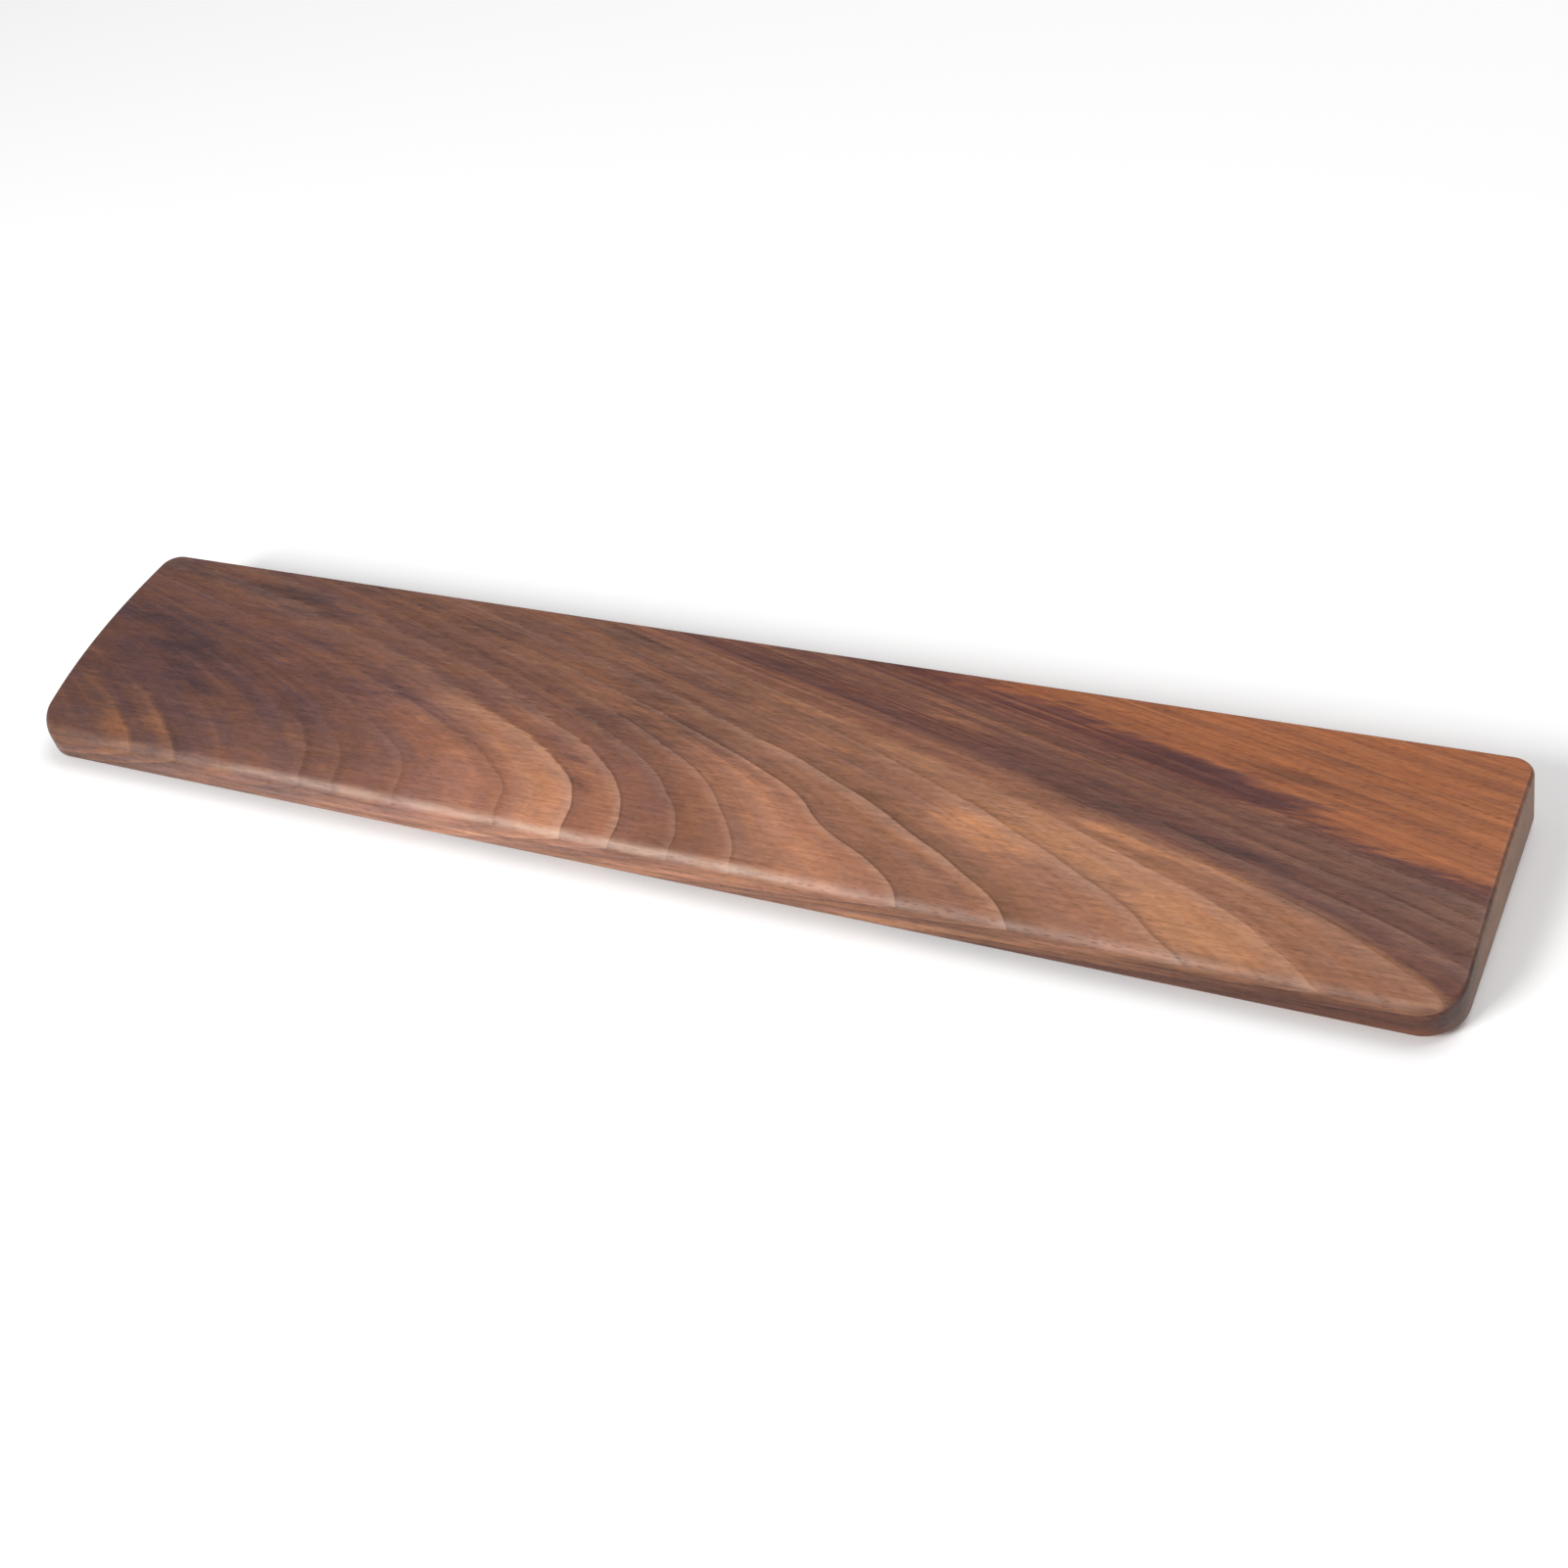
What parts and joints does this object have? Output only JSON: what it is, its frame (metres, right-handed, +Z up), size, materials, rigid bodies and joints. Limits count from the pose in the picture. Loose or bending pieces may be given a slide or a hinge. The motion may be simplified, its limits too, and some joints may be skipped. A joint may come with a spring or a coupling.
{
  "type": "wrist rest",
  "caption": "Solid walnut wrist rest for a full-size keyboard: a long board with a crowned top that slopes down to a softly rounded front, on thin round rubber feet.",
  "frame": {"origin": "on the desk, under the middle of the board, in the plane of the feet's undersides", "axes": "+X along the board to the user's right, +Y away from the user towards the keyboard, +Z up"},
  "size_m": [0.44, 0.08, 0.0195],
  "materials": {
    "walnut": "sanded solid walnut with a thin satin oil finish",
    "rubber": "matt black moulded rubber",
    "adhesive": "thin pale acrylic foam tape"
  },
  "bodies": {
    "root": {"walnut_board": "walnut", "foot_front_left": "rubber", "foot_front_middle": "rubber", "foot_front_right": "rubber", "foot_back_left": "rubber", "foot_back_middle": "rubber", "foot_back_right": "rubber", "adhesive_front_left": "adhesive", "adhesive_front_middle": "adhesive", "adhesive_front_right": "adhesive", "adhesive_back_left": "adhesive", "adhesive_back_middle": "adhesive", "adhesive_back_right": "adhesive"}
  },
  "joints": []
}
